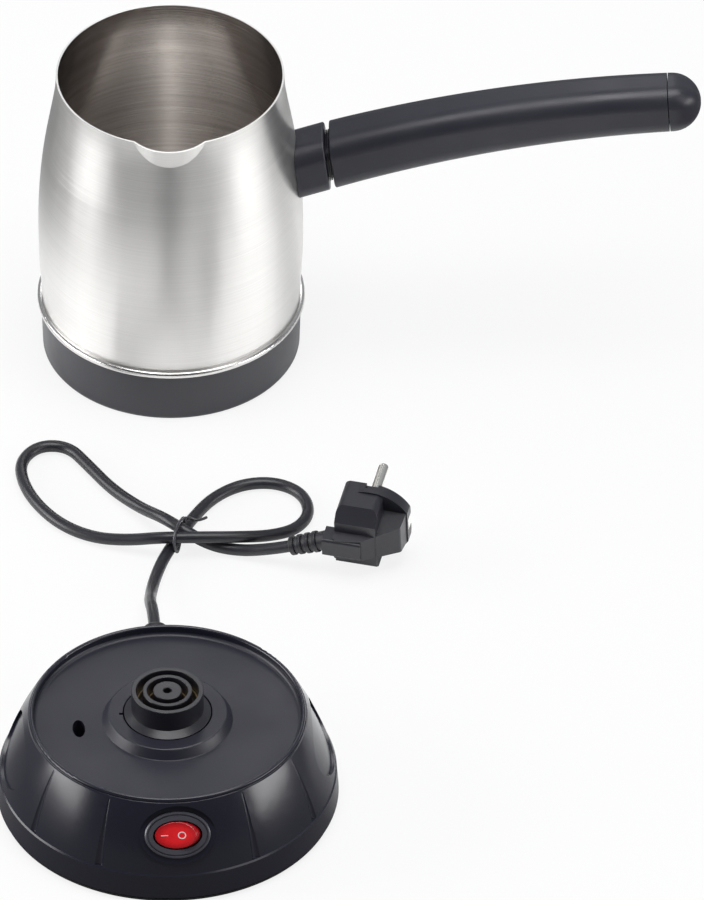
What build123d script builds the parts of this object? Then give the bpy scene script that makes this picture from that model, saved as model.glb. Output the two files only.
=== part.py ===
from build123d import *
import math
import os

# Electric turkish coffee maker: a round powered base with a tied mains cord,
# and a steel pot with a plastic cup and handle, standing on the same surface.
# Millimetres. +Z is up and the origin is on that surface, on the base's axis.
# -Y is the base's switch side, +X is the pot's handle side.

# Layout
base_turn = 4.0  # degrees that the base is turned to the right about its axis
pot_distance = 310.0  # from the base's axis to the pot's axis, along +Y
fit = 0.15  # clearance of parts that are pushed together
hair = 0.05  # clearance of parts that only touch

# Housing of the base
housing_wall = 2.4
dish_radius = 57.0
dish_corner = 1.6
rim_height = 46.0
rim_width = 1.8
rim_ledge = 0.8
rim_step = 0.9
dish_depth = 4.3
boss_radius = 27.7
boss_top_radius = 25.3
boss_height = 4.2
well_radius = 18.9  # opening in the boss that the connector rises through
well_wall = 2.4
well_depth = 9.5
crease_height = 15.0
crease_radius = 71.4
crease_step = 0.6
shoulder_bulge = 1.0
skirt_flare = 1.4
skirt_bottom = 3.0

# Flutes and grip recesses of the shoulder
flute_angles = (28, 57, 123, 152)  # each side of the switch
flute_widths = (3.9, 0.9)  # at the crease and at the top
flute_depths = (0.9, 0.2)
flute_margin = 0.8
grip_half_width = 22.0
grip_half_height = 12.5
grip_height = 28.5
grip_depth = 1.3

# Drain slot of the dish
drain_at = (-38.0, -3.6)
drain_length = 11.4
drain_width = 5.4
drain_wall = 1.3

# Bottom cover
cover_bottom = 0.8
cover_thickness = 2.2
cover_gap = 0.5
spigot_height = 3.5
spigot_wall = 2.0
foot_inset = 6.8
foot_width = 6.0
foot_thickness = 1.8
post_radius = 3.6
post_inset = 8.0  # from the dish's wall to the circle of the posts
post_angles = (45, 135, 225, 315)
cover_boss_top = 9.0
screw_head_radius = 3.0
screw_head_height = 2.4
screw_radius = 1.2
screw_length = 12.0

# Connector, lower half
connector_radius = 15.4
connector_rise = 11.8  # above the boss
connector_flare = 18.5
connector_flare_height = 2.0
connector_bottom = 26.0
connector_flange_radius = 23.5
connector_flange_height = 3.0
groove_depth = 9.0
outer_groove = (10.55, 13.3)
inner_groove = (6.1, 8.65)
centre_hole = 1.8
centre_bore = 2.65
centre_cap = 5.5
contact_thickness = 0.6
contact_height = 3.0
tail_width = 2.8
tail_bottom = 18.0
notch_width = 1.4
notch_reach = 1.7
clamp_radius = 30.0
clamp_thickness = 2.0
clamp_circle = 27.0
clamp_angles = (60, 180, 300)
clamp_post_radius = 2.6
small_screw_radius = 0.95
small_head_radius = 2.3
small_head_height = 1.8
small_screw_length = 4.5

# Rocker switch
switch_height = 32.0
switch_tilt = 33.0  # degrees that it faces up from level
switch_seat_depth = 1.6
pad_length = 32.4
pad_width = 25.2
pad_thickness = 2.6
bezel_length = 28.0
bezel_width = 20.0
bezel_height = 1.5
bezel_edge = 0.5
bezel_groove = 0.6
switch_body_length = 24.0
switch_body_width = 16.5
switch_body_depth = 12.0
switch_cavity_depth = 9.0
window_length = 21.0
window_width = 12.6
rocker_length = 20.0
rocker_width = 12.0
rocker_tip = 3.4
rocker_dip = 1.5
rocker_bottom = 4.2
rocker_pivot_depth = 1.5
rocker_tilt = 12.0
rocker_edge = 0.4
rocker_pin_radius = 1.2
rocker_pin_reach = 1.5
pin_play = 0.07
terminal_width = 4.8
terminal_thickness = 0.8
terminal_length = 8.0
terminal_pitch = 7.0
lamp_radius = 1.2
lamp_length = 9.0

# Cord exit of the base
gland_height = 22.5
gland_barrel_radius = 5.45
gland_flange_radius = 7.6
gland_flange_thickness = 2.3
gland_nose_radius = 6.3
gland_nose_length = 10.0
gland_nose_corner = 2.6
gland_tip_radius = 3.5
gland_tip_length = 3.5
gland_mouth_radius = 2.9
gland_mouth_depth = 2.0
gland_boss_radius = 8.6
gland_boss_reach = 2.3
gland_boss_depth = 8.5
cord_diameter = 5.2
cord_overlap = 3.0  # length of the free cord that lies inside the gland
cord_clamp_inset = 21.5  # from the gland's face to the clamp
cord_strip = 6.0  # from the clamp to the end of the sheath
cord_clamp_spread = 15.0
cord_clamp_bar = (22.0, 8.0, 3.0)
lead_radius = 1.0
lead_bend = 4.0
lead_bend_tight = 2.0
cord_strip_end = 0.6
lead_spread = 1.15  # from the cord's axis to each lead where they come out
lead_live_route = ((3.0, 35.4, 19.75), (27.0, 14.0, 14.0), (27.0, -22.0, 13.0))
lead_live_approach = (0.0, 9.0, -6.0)  # last corner, from its terminal
lead_neutral_route = (-3.5, 34.4, 18.75)
lead_neutral_turn = (9.0, 13.0)
lead_earth_route = ((0.5, 33.4, 20.0), (0.0, 9.0, 13.0), (0.0, 0.0, 12.0))
lead_switched_approach = (0.0, 8.0, -6.0)
lead_switched_turn = (-9.0, 12.5)
lead_rise = 11.5

# Pot
cup_radius = 56.3
cup_foot_inset = 1.6
cup_foot_width = 2.8
cup_height = 23.2
cup_wall = 2.3
cup_floor = 3.0
cup_recess_radius = 28.8
cup_recess_depth = 5.5
cup_plate = 2.2
socket_hole = 20.6
gasket_height = 0.8
gasket_width = 2.0
hem_overhang = 1.7
hem_height = 3.0
vessel_wall = 0.8
vessel_seat = 1.4  # from the cup's rim up to the vessel's base
vessel_height = 146.0
vessel_rim_radius = 49.3
vessel_swell = ((57.1, 95.5), (55.5, 46.5), (53.1, 29.5), (50.3, 13.0))  # radius, drop from the rim
joggle_inset = 0.4
joggle_margin = 0.6
heel_inset = 0.3
heel_rise = 0.8
spout_radius = 20.5
spout_reach = 5.0
spout_drop = 13.0
standoff_circle = 46.5
standoff_angles = (30, 150, 270)
standoff_radius = 3.2
standoff_bottom = 16.0
cup_boss_radius = 3.8
cup_screw_radius = 1.65
cup_screw_head_height = 2.1

# Connector, upper half, under the pot
socket_radius = 16.1
socket_mouth_radius = 18.3
socket_body_radius = 20.2
socket_ceiling = 17.0
socket_top = 18.5
socket_flange_radius = 27.5
socket_flange_height = 2.2
socket_screw_circle = 24.0
ring_radii = ((11.5, 12.2), (7.0, 7.7))
ring_bottom = 8.2
socket_pin_radius = 1.45
socket_pin_bottom = 6.5

# Heater
plate_radius = 43.0
plate_thickness = 2.4
element_ring = 36.0
element_radius = 3.2
element_gap_angle = 60.0
element_pin_radius = 1.0
element_pin_bottom = 12.0
thermostat_ring = 28.0
thermostat_radius = 5.8
thermostat_height = 7.0
thermostat_tab = 3.0
clip_gap = 0.4
pot_live_route = ((16.2, 9.0, 20.7), (14.0, 20.0, 18.7), (10.5, 24.0, 13.0))
pot_heater_route = (-9.0, 29.5, 13.7)
pot_neutral_route = ((0.0, -6.0, 20.9), (17.0, -16.0, 20.1), (27.0, 6.0, 15.0))

# Handle
handle_root = (63.0, 100.0)  # X and Z of its centre line, in the pot's frame
handle_slope = 19.5
handle_curve = 560.0
handle_cut = 12.5  # degrees that the collar's end and the grip's start lean from square
collar_end = 5.0
grip_start = 7.3
grip_width = (24.2, 21.8)
grip_height_ends = (26.2, 23.0)
grip_corner = 8.0
cap_length = 14.2
cap_seam = 0.4
handle_length = 169.6
tip_length = 12.4
core_width = 16.6
core_height = 14.6
core_corner = 4.0
core_end = 36.0
core_rib = 1.7
core_rib_width = 0.35
core_rib_pitch = 0.8
bracket_gap = 1.1
bolt_radius = 2.4
bolt_head_radius = 4.0
bolt_head_height = 3.0
bolt_seat = 10.0
grip_screw_at = 25.0

# Plug
plug_at = (88.1, 167.3)
plug_height = 19.3
plug_turn = 14.3  # degrees that the pins turn from +Y towards +X
plug_tilt = 8.0  # degrees that the pins rise
plug_radius = 18.3
plug_disc = 6.0
plug_flat = 16.2  # from the centre to the flat on the far side
plug_near_flat = 12.4  # from the centre to the flat on the cord's side
plug_block = (-5.7, 17.4, 14.5)  # far side, half height and depth of the block beside the disc
plug_block_end = (11.8, 20.5)  # half height and depth where the block ends
plug_grip = ((-15.9, 4.0), (-15.0, 13.7), (0.0, 24.0), (12.4, 25.0), (12.4, 4.0))
plug_grip_heights = (9.5, 5.6)  # half heights at the disc and at the back
plug_neck = (17.0, 16.0, 25.4)  # end, and the two sides of the cord's neck
plug_neck_half = 4.8
plug_groove = (5.4, 2.4)
plug_pin_radius = 2.4
plug_pin_length = 19.0
plug_pin_pitch = 19.0
plug_pin_end = 1.9
plug_root_radius = 1.9
plug_root_length = 5.0
plug_clip = (1.6, 6.4, 4.4)
boot_radius = 4.7
boot_tip = (52.2, 154.9, 10.6)
boot_ribs = 4

# Free cord: its route on the surface, from the gland to the plug's boot
cord_route = (
    (-6.77, 96.8, 22.5),
    (-8.2, 112.0, 14.5),
    (-8.0, 127.5, 6.2),
    (-6.2, 142.0, 3.4),
    (-2.2, 156.0, 3.9),
    (4.2, 169.5, 4.4),
    (10.2, 184.0, 3.0),
    (18.5, 197.5, 2.8),
    (31.0, 206.8, 2.7),
    (45.5, 208.0, 2.7),
    (57.0, 200.5, 2.8),
    (60.5, 187.0, 2.9),
    (55.0, 175.5, 3.2),
    (43.5, 168.5, 5.0),
    (28.5, 162.8, 9.0),
    (12.0, 161.2, 10.2),
    (-3.5, 161.3, 10.0),
    (-18.5, 165.3, 5.2),
    (-33.0, 170.0, 2.8),
    (-46.5, 178.5, 2.7),
    (-57.0, 192.0, 2.7),
    (-63.5, 207.0, 2.8),
    (-65.0, 222.0, 2.7),
    (-57.0, 233.0, 2.8),
    (-44.0, 232.5, 2.7),
    (-35.5, 219.5, 2.8),
    (-25.0, 203.0, 2.7),
    (-12.5, 188.0, 4.5),
    (-3.0, 175.5, 9.6),
    (5.5, 167.6, 9.4),
    (17.0, 163.6, 4.0),
    (30.0, 161.0, 2.8),
    (44.13, 156.73, 7.32),
)
tie_at = 3.4
tie_thickness = 1.2
tie_corners = (
    (157.8, 13.6, 3.2),
    (172.8, 13.5, 3.2),
    (177.0, 6.4, 3.0),
    (176.4, 0.75, 2.6),
    (162.0, 0.75, 2.6),
    (157.8, 6.0, 3.0),
)
tie_tail = ((8.5, 171.4, 12.6), (16.2, 177.2, 7.5))


# Outlines ------------------------------------------------------------------


def outline(corners, arcs=None):
    """Closed face in XZ through (across, up, optional corner radius); arcs maps a run to a point on it."""
    arcs = arcs or {}
    points = [Vector(corner[0], 0, corner[1]) for corner in corners]
    count = len(points)
    ends = []
    for i, corner in enumerate(corners):
        point = points[i]
        if len(corner) == 2:
            ends.append((point, None, point))
            continue
        back = (points[i - 1] - point).normalized()
        ahead = (points[(i + 1) % count] - point).normalized()
        half = math.radians(back.get_angle(ahead)) / 2
        middle = (back + ahead).normalized()
        reach = corner[2] / math.tan(half)
        crown = point + middle * (corner[2] / math.sin(half) - corner[2])
        ends.append((point + back * reach, crown, point + ahead * reach))
    edges = []
    for i in range(count):
        first, crown, last = ends[i]
        if crown is not None:
            edges.append(ThreePointArc(first, crown, last))
        following = ends[(i + 1) % count][0]
        if i in arcs:
            edges.append(ThreePointArc(last, Vector(arcs[i][0], 0, arcs[i][1]), following))
        else:
            edges.append(Line(last, following))
    return make_face(edges)


def turned(corners, arcs=None):
    """Solid of revolution about +Z."""
    return revolve(outline(corners, arcs), Axis.Z)


def ring(inner, outer, low, high):
    """Plain ring, or a disc where the inner radius is zero."""
    body = Cylinder(outer, high - low, align=(Align.CENTER, Align.CENTER, Align.MIN))
    if inner:
        body -= Cylinder(inner, high - low, align=(Align.CENTER, Align.CENTER, Align.MIN))
    return Pos(0, 0, low) * body


def around(radius, angles, shape):
    """Copies of a shape at each angle on a circle."""
    return [Rot(0, 0, angle) * Pos(radius, 0, 0) * shape for angle in angles]


def tube(points, radius, bend):
    """Round bar along a line of points, with its bends rounded."""
    route = FilletPolyline(*points, radius=bend) if len(points) > 2 else Line(*points)
    start = route.location_at(0)
    return sweep(start * Circle(radius), path=route)


def group(solids):
    """Separate solids of one node."""
    return Compound(list(solids))


# Shoulder of the housing ---------------------------------------------------

dish_floor = rim_height - dish_depth
boss_top = dish_floor + boss_height
connector_top = boss_top + connector_rise
rim_outer_radius = dish_radius + rim_width
rim_bead = rim_width / 2
bead_height = rim_height - rim_bead
shoulder_top = bead_height - rim_step
shoulder_top_radius = rim_outer_radius + rim_ledge
skirt_radius = crease_radius + skirt_flare
floor_underside = dish_floor - housing_wall
post_circle = dish_radius - post_inset
foot_outer_radius = skirt_radius - foot_inset
foot_inner_radius = foot_outer_radius - foot_width


def shoulder_circle():
    """Centre and radius of the arc that the shoulder follows in section."""
    low = Vector(crease_radius, 0, crease_height)
    high = Vector(shoulder_top_radius, 0, shoulder_top)
    chord = high - low
    out = Vector(chord.Z, 0, -chord.X).normalized()
    radius = chord.length**2 / (8 * shoulder_bulge) + shoulder_bulge / 2
    centre = low + chord * 0.5 + out * (shoulder_bulge - radius)
    return centre, radius


def shoulder_radius(height, inset=0.0):
    """Distance from the base's axis to the shoulder at a height, inset along its normal."""
    centre, radius = shoulder_circle()
    return centre.X + math.sqrt((radius - inset) ** 2 - (height - centre.Z) ** 2)


def flute_cutter():
    """Tapered round bar that lies along the shoulder, from the crease up."""
    centre, _ = shoulder_circle()
    top = shoulder_top - flute_margin
    sections = []
    for share in (-0.1, 0.2, 0.5, 0.8, 1.0):
        height = crease_height + (top - crease_height) * share
        width = flute_widths[0] + (flute_widths[1] - flute_widths[0]) * share
        depth = flute_depths[0] + (flute_depths[1] - flute_depths[0]) * share
        bar = width**2 / (8 * depth) + depth / 2
        surface = Vector(shoulder_radius(height), 0, height)
        out = (surface - centre).normalized()
        along = Vector(-out.Z, 0, out.X)
        sections.append(Plane(origin=surface + out * (bar - depth), x_dir=(0, 1, 0), z_dir=along) * Circle(bar))
    above = ring(0, 2 * skirt_radius, crease_height, rim_height)
    return loft(sections) & above


def shoulder_skin(depth, low, high):
    """Layer of the shoulder as deep as a recess."""
    middle = (low + high) / 2
    outside = housing_wall
    return turned(
        (
            (shoulder_radius(low, depth), low),
            (shoulder_radius(low, -outside), low),
            (shoulder_radius(high, -outside), high),
            (shoulder_radius(high, depth), high),
        ),
        {
            1: (shoulder_radius(middle, -outside), middle),
            3: (shoulder_radius(middle, depth), middle),
        },
    )


def switch_plane():
    """Plane of the switch pad, facing out of it; its X is level."""
    tilt = math.radians(switch_tilt)
    out = Vector(0, -math.cos(tilt), math.sin(tilt))
    surface = Vector(0, -shoulder_radius(switch_height), switch_height)
    return Plane(origin=surface - out * switch_seat_depth, x_dir=(1, 0, 0), z_dir=out)


def oval(length, width, low, high):
    """Elliptical plate on the switch plane, from one height to another."""
    return switch_plane() * Pos(0, 0, low) * extrude(Ellipse(length / 2, width / 2), high - low)


def make_housing():
    middle = (crease_height + shoulder_top) / 2
    skirt_top = crease_height - crease_step
    outer = (
        (boss_top_radius, boss_top, 0.8),
        (boss_radius, dish_floor, 0.5),
        (dish_radius, dish_floor, dish_corner),
        (dish_radius, bead_height),
        (rim_outer_radius, bead_height),
        (rim_outer_radius, shoulder_top, 0.3),
        (shoulder_top_radius, shoulder_top),
        (crease_radius, crease_height),
        (crease_radius + crease_step, skirt_top),
        (skirt_radius, skirt_bottom, 0.5),
    )
    outer_arcs = {
        3: (dish_radius + rim_bead, rim_height),
        6: (shoulder_radius(middle), middle),
    }
    well_bottom = boss_top - well_depth
    well_outside = well_radius + well_wall
    inner = (
        (skirt_radius - housing_wall, skirt_bottom),
        (crease_radius + crease_step - housing_wall, skirt_top),
        (shoulder_radius(crease_height, housing_wall), crease_height),
        (shoulder_radius(floor_underside, housing_wall), floor_underside),
        (boss_radius - 1.5, floor_underside),
        (boss_top_radius - 1.4, boss_top - housing_wall),
        (well_outside, boss_top - housing_wall),
        (well_outside, well_bottom),
        (well_radius, well_bottom),
        (well_radius, boss_top, 0.4),
    )
    inner_middle = (crease_height + floor_underside) / 2
    run = len(outer) + 2
    arcs = dict(outer_arcs)
    arcs[run] = (shoulder_radius(inner_middle, housing_wall), inner_middle)
    shell = turned(outer + inner, arcs)
    filled = turned(outer + ((0, skirt_bottom), (0, boss_top)), outer_arcs)

    # Pad and pocket of the switch
    rim_of_pad = 4.0
    collar = oval(pad_length + rim_of_pad, pad_width + rim_of_pad, -pad_thickness, rim_height / 4)
    shell += collar & filled
    shell += oval(pad_length, pad_width, -pad_thickness, 0)
    shell -= oval(pad_length, pad_width, 0, rim_height / 3)
    opening = RectangleRounded(
        switch_body_length + 4 * fit, switch_body_width + 4 * fit, switch_body_width / 2.2
    )
    shell -= switch_plane() * Pos(0, 0, -2 * pad_thickness) * extrude(opening, 4 * pad_thickness)

    # Flutes and grip recesses
    cutter = flute_cutter()
    for angle in flute_angles:
        for side in (-1, 1):
            shell -= Rot(0, 0, side * angle - 90) * cutter
    far = skirt_radius + 10
    grip_skin = shoulder_skin(grip_depth, crease_height, grip_height + grip_half_height + 1)
    for side in (0, 180):
        plate = Plane.YZ * Pos(0, grip_height) * Ellipse(grip_half_width, grip_half_height)
        shell -= Rot(0, 0, side) * (extrude(plate, amount=far) & grip_skin)

    # Drain slot with its duct down to the cover, and index notch
    duct_bottom = cover_bottom + cover_thickness + fit
    shell += drain_bar(drain_wall, duct_bottom, dish_floor - housing_wall / 2)
    shell -= drain_bar(0, 0, rim_height)
    notch = Box(notch_reach * 2, notch_width, housing_wall * 2)
    shell -= Pos(-well_radius, 0, boss_top) * notch

    # Posts for the cover, the connector clamp and the cord clamp
    post = post_solid(post_radius, screw_radius, cover_boss_top, screw_length)
    for solid in around(post_circle, post_angles, post):
        shell += solid
    flange_bottom = connector_flange_bottom()
    clamp_post = post_solid(clamp_post_radius, small_screw_radius, flange_bottom, small_screw_length)
    for solid in around(clamp_circle, clamp_angles, clamp_post):
        shell += solid
    bar_top = gland_height - cord_diameter / 2 - hair
    cord_post = post_solid(clamp_post_radius, small_screw_radius, bar_top, 2 * small_screw_length)
    for side in (-0.5, 0.5):
        shell += Pos(side * cord_clamp_spread, cord_clamp_y(), 0) * cord_post
    rib_bottom = gland_height + cord_diameter / 2 + hair
    rib_height = floor_underside + hair - rib_bottom
    rib = Box(6, cord_clamp_bar[1], rib_height, align=(Align.CENTER, Align.CENTER, Align.MIN))
    shell += Pos(0, cord_clamp_y(), rib_bottom) * rib

    # Boss that the cord gland sits in
    boss = Cylinder(gland_boss_radius, gland_boss_depth, align=(Align.CENTER, Align.CENTER, Align.MAX))
    hole = Cylinder(gland_barrel_radius + fit, 3 * gland_boss_depth)
    face = Pos(0, gland_face(), gland_height) * Rot(-90, 0, 0)
    shell += face * boss
    shell -= face * hole
    return shell


def drain_bar(extra, low, high):
    """Oval bar at the drain slot, larger than it all round by a wall."""
    oval_face = Ellipse(drain_width / 2 + extra, drain_length / 2 + extra)
    return Pos(*drain_at, low) * extrude(oval_face, high - low)


def gland_face():
    """Distance from the base's axis to the face that the cord gland stands on."""
    return shoulder_radius(gland_height) + gland_boss_reach


def cord_start():
    """Where the free cord begins, inside the gland."""
    return gland_face() + gland_nose_length + gland_tip_length - cord_overlap


def cord_clamp_y():
    return gland_face() - cord_clamp_inset


def post_solid(radius, hole, bottom, hole_depth):
    """Screw post that hangs from the underside of the dish."""
    post = ring(0, radius, bottom, floor_underside + housing_wall / 2)
    return post - ring(0, hole + hair, bottom, bottom + hole_depth + hair)


def connector_flange_top():
    return boss_top - well_depth


def connector_flange_bottom():
    return connector_flange_top() - connector_flange_height


# Bottom cover, foot ring and screws ----------------------------------------


def make_cover():
    top = cover_bottom + cover_thickness
    edge_top = skirt_bottom - cover_gap
    spigot = skirt_radius - housing_wall - 4 * fit
    cover = turned(
        (
            (0, cover_bottom),
            (foot_inner_radius, cover_bottom),
            (foot_inner_radius, foot_thickness),
            (foot_outer_radius, foot_thickness),
            (foot_outer_radius, cover_bottom),
            (skirt_radius - cover_gap - 0.7, cover_bottom, 0.4),
            (skirt_radius - cover_gap, edge_top),
            (spigot, edge_top),
            (spigot, top + spigot_height),
            (spigot - spigot_wall, top + spigot_height),
            (spigot - spigot_wall, top),
            (0, top),
        )
    )
    seat = cover_boss_top - housing_wall
    boss = ring(0, post_radius + 0.8, top - hair, cover_boss_top)
    recess = ring(0, screw_head_radius + fit, 0, seat)
    hole = ring(0, screw_radius + 3 * fit, 0, cover_boss_top)
    for solid in around(post_circle, post_angles, boss):
        cover += solid
    for solid in around(post_circle, post_angles, recess + hole):
        cover -= solid
    return cover - drain_bar(0, 0, 2 * top)


def make_foot_ring():
    return ring(foot_inner_radius + fit, foot_outer_radius - fit, 0, foot_thickness)


def screw(head_radius, head_height, radius, length, seat):
    """Screw that goes up from its head, which seats at a height; a cross recess is in the head."""
    solid = ring(0, head_radius, seat - head_height, seat) + ring(0, radius, seat, seat + length)
    arm = Box(head_radius * 1.1, head_radius * 0.25, head_height)
    cross = Pos(0, 0, seat - head_height) * (arm + Rot(0, 0, 90) * arm)
    return solid - cross


def make_cover_screws():
    seat = cover_boss_top - housing_wall
    solid = screw(screw_head_radius, screw_head_height, screw_radius, screw_length, seat)
    return group(around(post_circle, post_angles, solid))


# Connector, lower half -----------------------------------------------------


def make_connector():
    flange_top = connector_flange_top()
    flange_bottom = connector_flange_bottom()
    groove_bottom = connector_top - groove_depth
    edge = 0.3
    body = turned(
        (
            (centre_hole, connector_top, edge),
            (inner_groove[0], connector_top, edge),
            (inner_groove[0], groove_bottom),
            (inner_groove[1], groove_bottom),
            (inner_groove[1], connector_top, edge),
            (outer_groove[0], connector_top, edge),
            (outer_groove[0], groove_bottom),
            (outer_groove[1], groove_bottom),
            (outer_groove[1], connector_top, edge),
            (connector_radius, connector_top, edge),
            (connector_radius, boss_top + connector_flare_height),
            (connector_flare, boss_top),
            (connector_flare, flange_top),
            (connector_flange_radius, flange_top),
            (connector_flange_radius, flange_bottom),
            (connector_flare - 0.5, flange_bottom),
            (connector_flare - 0.5, connector_bottom),
            (centre_bore, connector_bottom),
            (centre_bore, connector_top - centre_cap),
            (centre_hole, connector_top - centre_cap),
        )
    )
    for angle, radius in tail_places():
        slot = Box(
            contact_thickness + 2 * fit,
            tail_width + 2 * fit,
            groove_bottom - connector_bottom + 2 * hair,
            align=(Align.CENTER, Align.CENTER, Align.MIN),
        )
        body -= Rot(0, 0, angle) * Pos(radius, 0, connector_bottom - hair) * slot
    return body


def tail_places():
    """Angle and radius of the tail of each ring contact."""
    return (
        (0, outer_groove[1] - fit - contact_thickness / 2),
        (180, inner_groove[1] - fit - contact_thickness / 2),
    )


def make_connector_contacts():
    low = connector_top - groove_depth + hair
    contacts = []
    for angle, radius in tail_places():
        half = contact_thickness / 2
        hoop = ring(radius - half, radius + half, low, low + contact_height)
        tail = Box(
            contact_thickness * 0.9,
            tail_width,
            low + 1 - tail_bottom,
            align=(Align.CENTER, Align.CENTER, Align.MIN),
        )
        contacts.append(hoop + Rot(0, 0, angle) * Pos(radius, 0, tail_bottom) * tail)
    bore = centre_bore - fit
    contacts.append(ring(bore - contact_thickness, bore, tail_bottom, connector_top - centre_cap - hair))
    return group(contacts)


def make_connector_clamp():
    top = connector_flange_bottom()
    clamp = ring(connector_flare, clamp_radius, top - clamp_thickness, top)
    hole = ring(0, small_screw_radius + 2 * fit, top - clamp_thickness, top)
    for solid in around(clamp_circle, clamp_angles, hole):
        clamp -= solid
    return clamp


def make_connector_screws():
    seat = connector_flange_bottom() - clamp_thickness
    length = clamp_thickness + small_screw_length - fit
    solid = screw(small_head_radius, small_head_height, small_screw_radius, length, seat)
    return group(around(clamp_circle, clamp_angles, solid))


# Rocker switch -------------------------------------------------------------


def make_switch_frame():
    flange = extrude(Ellipse(bezel_length / 2, bezel_width / 2), bezel_height)
    flange = chamfer(flange.faces().sort_by(Axis.Z)[-1].edges(), bezel_edge)
    inset = bezel_edge + 0.5
    groove = extrude(Ellipse(bezel_length / 2 - inset, bezel_width / 2 - inset), bezel_groove)
    inset += bezel_groove
    groove -= extrude(Ellipse(bezel_length / 2 - inset, bezel_width / 2 - inset), bezel_groove)
    body_outline = RectangleRounded(
        switch_body_length, switch_body_width, switch_body_width / 2.2
    )
    frame = flange - Pos(0, 0, bezel_height - bezel_groove) * groove
    frame += Pos(0, 0, -switch_body_depth) * extrude(body_outline, switch_body_depth + hair)
    window = extrude(Ellipse(window_length / 2, window_width / 2), switch_cavity_depth + 2 * bezel_height)
    frame -= Pos(0, 0, -switch_cavity_depth) * window
    hole_reach = rocker_width + 2 * rocker_pin_reach + 4 * fit
    hole = Rot(90, 0, 0) * Cylinder(rocker_pin_radius + pin_play, hole_reach)
    frame -= Pos(0, 0, -rocker_pivot_depth) * hole
    for place in (-1, 0, 1):
        slot = Box(terminal_width + 2 * hair, terminal_thickness + 2 * hair, 2 * switch_body_depth)
        frame -= Pos(place * terminal_pitch, 0, -2 * switch_body_depth + 1.5) * slot
    return switch_plane() * frame


def make_switch_terminals():
    blades = []
    for place in (-1, 0, 1):
        blade = Box(
            terminal_width,
            terminal_thickness,
            terminal_length + 1.4,
            align=(Align.CENTER, Align.CENTER, Align.MAX),
        )
        at = Pos(place * terminal_pitch, 0, -switch_body_depth + 1.4)
        hole = Rot(90, 0, 0) * Cylinder(0.8, 2 * terminal_thickness)
        blade -= Pos(0, 0, 3 - terminal_length) * hole
        blades.append(switch_plane() * at * blade)
    return group(blades)


def make_switch_lamp():
    at = Pos(0, 0, -switch_cavity_depth + lamp_radius + hair)
    return switch_plane() * at * Rot(0, 90, 0) * Cylinder(lamp_radius, lamp_length)


def make_switch_rocker():
    """Rocker whose walls are round about its pins, so its gap to the frame stays even as it tips."""
    swing = rocker_length / 2
    form = scale(Sphere(swing), by=(1, rocker_width / rocker_length, 1))
    slab = Box(
        rocker_length,
        rocker_width,
        rocker_tip + rocker_bottom,
        align=(Align.CENTER, Align.CENTER, Align.MIN),
    )
    rocker = (Pos(0, 0, -rocker_pivot_depth) * form) & (Pos(0, 0, -rocker_bottom) * slab)
    half = math.sqrt(swing**2 - (rocker_tip + rocker_pivot_depth) ** 2)
    curve = half**2 / (2 * rocker_dip) + rocker_dip / 2
    scoop = Rot(90, 0, 0) * Cylinder(curve, 2 * rocker_width)
    rocker -= Pos(0, 0, rocker_tip - rocker_dip + curve) * scoop
    rocker = fillet(rocker.edges().filter_by(lambda edge: edge.center().Z > 1), rocker_edge)
    pin_length = rocker_width + 2 * rocker_pin_reach
    rocker += Pos(0, 0, -rocker_pivot_depth) * Rot(90, 0, 0) * Cylinder(rocker_pin_radius, pin_length)
    pivot = Pos(0, 0, -rocker_pivot_depth)
    pressed = pivot * Rot(0, -rocker_tilt, 0) * Pos(0, 0, rocker_pivot_depth)
    return switch_plane() * pressed * rocker


# Cord exit -----------------------------------------------------------------


def along_y(height, solid):
    """Turns a solid of revolution about Z to lie along +Y at a height."""
    return Pos(0, 0, height) * Rot(-90, 0, 0) * solid


def make_cord_gland():
    face = gland_face()
    inner_face = face - gland_boss_depth
    nose_end = face + gland_nose_length
    tip = nose_end + gland_tip_length
    bore = cord_diameter / 2 + hair
    gland = turned(
        (
            (bore, inner_face - gland_flange_thickness),
            (gland_flange_radius, inner_face - gland_flange_thickness, 0.6),
            (gland_flange_radius, inner_face),
            (gland_barrel_radius, inner_face),
            (gland_barrel_radius, face),
            (gland_nose_radius, face),
            (gland_nose_radius, nose_end, gland_nose_corner),
            (gland_tip_radius, tip, 0.3),
            (gland_mouth_radius, tip),
            (bore, tip - gland_mouth_depth),
        )
    )
    return along_y(gland_height, gland)


def make_cord_tail():
    return along_y(gland_height, ring(0, cord_diameter / 2, cord_clamp_y() - cord_strip, cord_start()))


def make_cord_clamp():
    length, width, thick = cord_clamp_bar
    top = gland_height - cord_diameter / 2 - hair
    bar = Box(length, width, thick, align=(Align.CENTER, Align.CENTER, Align.MAX))
    bar = fillet(bar.edges().filter_by(Axis.Z), 2)
    hole = Cylinder(small_screw_radius + 2 * fit, 3 * thick)
    for side in (-0.5, 0.5):
        bar -= Pos(side * cord_clamp_spread, 0, 0) * hole
    return Pos(0, cord_clamp_y(), top) * bar


def make_cord_clamp_screws():
    seat = gland_height - cord_diameter / 2 - hair - cord_clamp_bar[2]
    length = cord_clamp_bar[2] + 2 * small_screw_length - fit
    solid = screw(small_head_radius, small_head_height, small_screw_radius, length, seat)
    return group([Pos(side * cord_clamp_spread, cord_clamp_y(), 0) * solid for side in (-0.5, 0.5)])


def switch_point(across, depth):
    """Point behind the switch pad, in the base's frame."""
    return switch_plane().from_local_coords(Vector(across, 0, -depth))


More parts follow.
